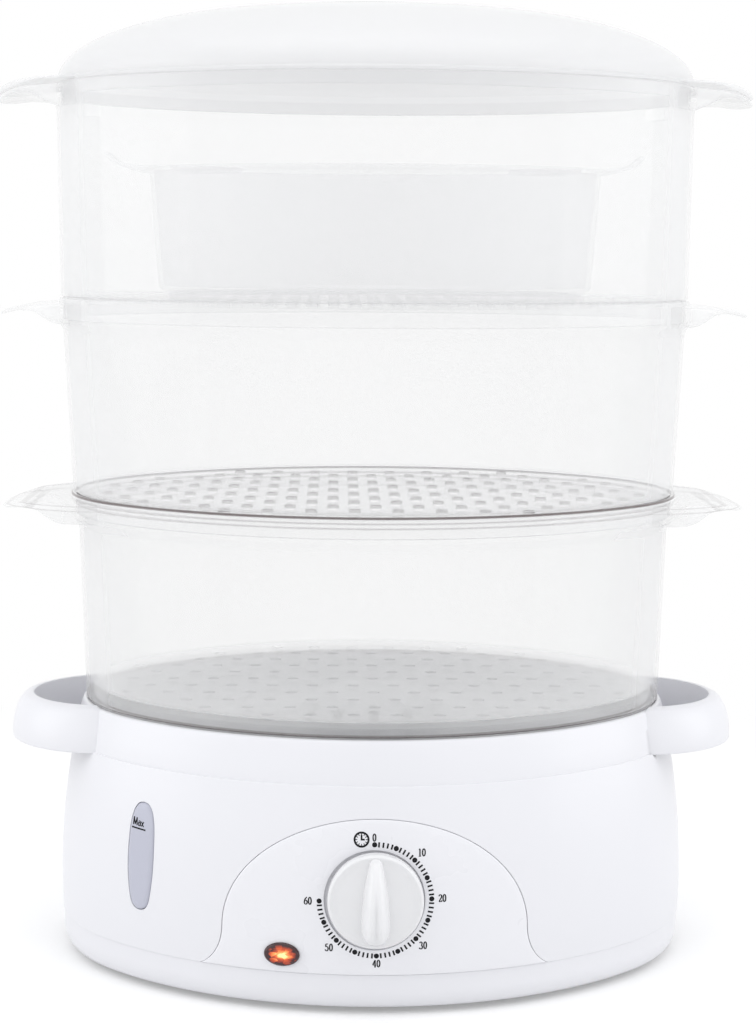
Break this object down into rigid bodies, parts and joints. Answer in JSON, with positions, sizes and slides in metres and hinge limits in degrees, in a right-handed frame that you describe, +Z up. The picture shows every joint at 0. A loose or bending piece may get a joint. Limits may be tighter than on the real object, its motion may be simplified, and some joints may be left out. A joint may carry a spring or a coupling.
{
  "type": "electric food steamer",
  "caption": "Oval electric food steamer: boiler base with a timer knob and filling scoops, clear stacking tiers, a rice bowl and a domed lid.",
  "frame": {"origin": "centre of the oval footprint on the table, under the rubber feet", "axes": "+Z up through the stack, -Y to the front where the timer knob is, +X to the right seen from the front"},
  "size_m": [0.33, 0.2592, 0.4168],
  "materials": {
    "shell_white": "smooth moulded white",
    "panel_white": "smooth moulded white",
    "knob_white": "smooth moulded white",
    "inner_white": "plain moulded, inside",
    "clear_tier": "clear polished",
    "frosted_lid": "translucent, faintly milky",
    "rice_white": "translucent, milky",
    "tray_grey": "translucent grey",
    "gauge_clear": "clear, faintly lavender",
    "lamp_amber": "clear amber",
    "bulb_glass": "clear glass",
    "steel": "brushed",
    "heater_aluminium": "cast and turned",
    "rubber_dark": "matt",
    "seal_red": "matt silicone",
    "hose_clear": "soft silicone",
    "wire_brown": "insulation"
  },
  "bodies": {
    "base": {"base_housing": "shell_white", "control_panel": "panel_white", "water_tank": "inner_white", "boiler_well": "inner_white", "heater_carrier": "inner_white", "tank_collar": "inner_white", "bottom_cover": "inner_white", "bottom_screws": "steel", "rubber_feet": "rubber_dark", "heater_plate": "heater_aluminium", "heater_element": "steel", "heater_seal": "seal_red", "heater_clamp": "steel", "heater_screws": "steel", "thermostat": "steel", "thermal_fuse": "inner_white", "timer_body": "inner_white", "timer_plate": "steel", "timer_screws": "steel", "timer_bell": "steel", "lamp_lens": "lamp_amber", "lamp_holder": "inner_white", "lamp_bulb": "bulb_glass", "water_gauge": "gauge_clear", "gauge_seal": "rubber_dark", "gauge_hose": "hose_clear", "terminal_block": "inner_white", "inner_leads": "wire_brown", "cord_gland": "inner_white", "cord_boot": "shell_white"},
    "timer_knob": {"timer_knob": "knob_white", "timer_shaft": "steel"},
    "drip_tray": {"drip_tray": "tray_grey"},
    "lower_bowl": {"lower_bowl": "clear_tier"},
    "middle_bowl": {"middle_bowl": "clear_tier"},
    "upper_bowl": {"upper_bowl": "clear_tier"},
    "rice_bowl": {"rice_bowl": "rice_white"},
    "lid": {"lid": "frosted_lid"}
  },
  "joints": [
    {"name": "timer_turn", "type": "hinge", "parent": "base", "child": "timer_knob", "pos_m": [0, -0.1116, 0.05], "axis": [0, 1, 0], "range_deg": [0, 270]},
    {"name": "tray_lift", "type": "slide", "parent": "base", "child": "drip_tray", "axis": [0, 0, 1], "range_m": [0, 0.05]},
    {"name": "lower_bowl_lift", "type": "slide", "parent": "drip_tray", "child": "lower_bowl", "axis": [0, 0, 1], "range_m": [0, 0.08]},
    {"name": "middle_bowl_lift", "type": "slide", "parent": "lower_bowl", "child": "middle_bowl", "axis": [0, 0, 1], "range_m": [0, 0.08]},
    {"name": "upper_bowl_lift", "type": "slide", "parent": "middle_bowl", "child": "upper_bowl", "axis": [0, 0, 1], "range_m": [0, 0.08]},
    {"name": "rice_bowl_lift", "type": "slide", "parent": "upper_bowl", "child": "rice_bowl", "axis": [0, 0, 1], "range_m": [0, 0.12]},
    {"name": "lid_lift", "type": "slide", "parent": "rice_bowl", "child": "lid", "axis": [0, 0, 1], "range_m": [0, 0.08]}
  ]
}
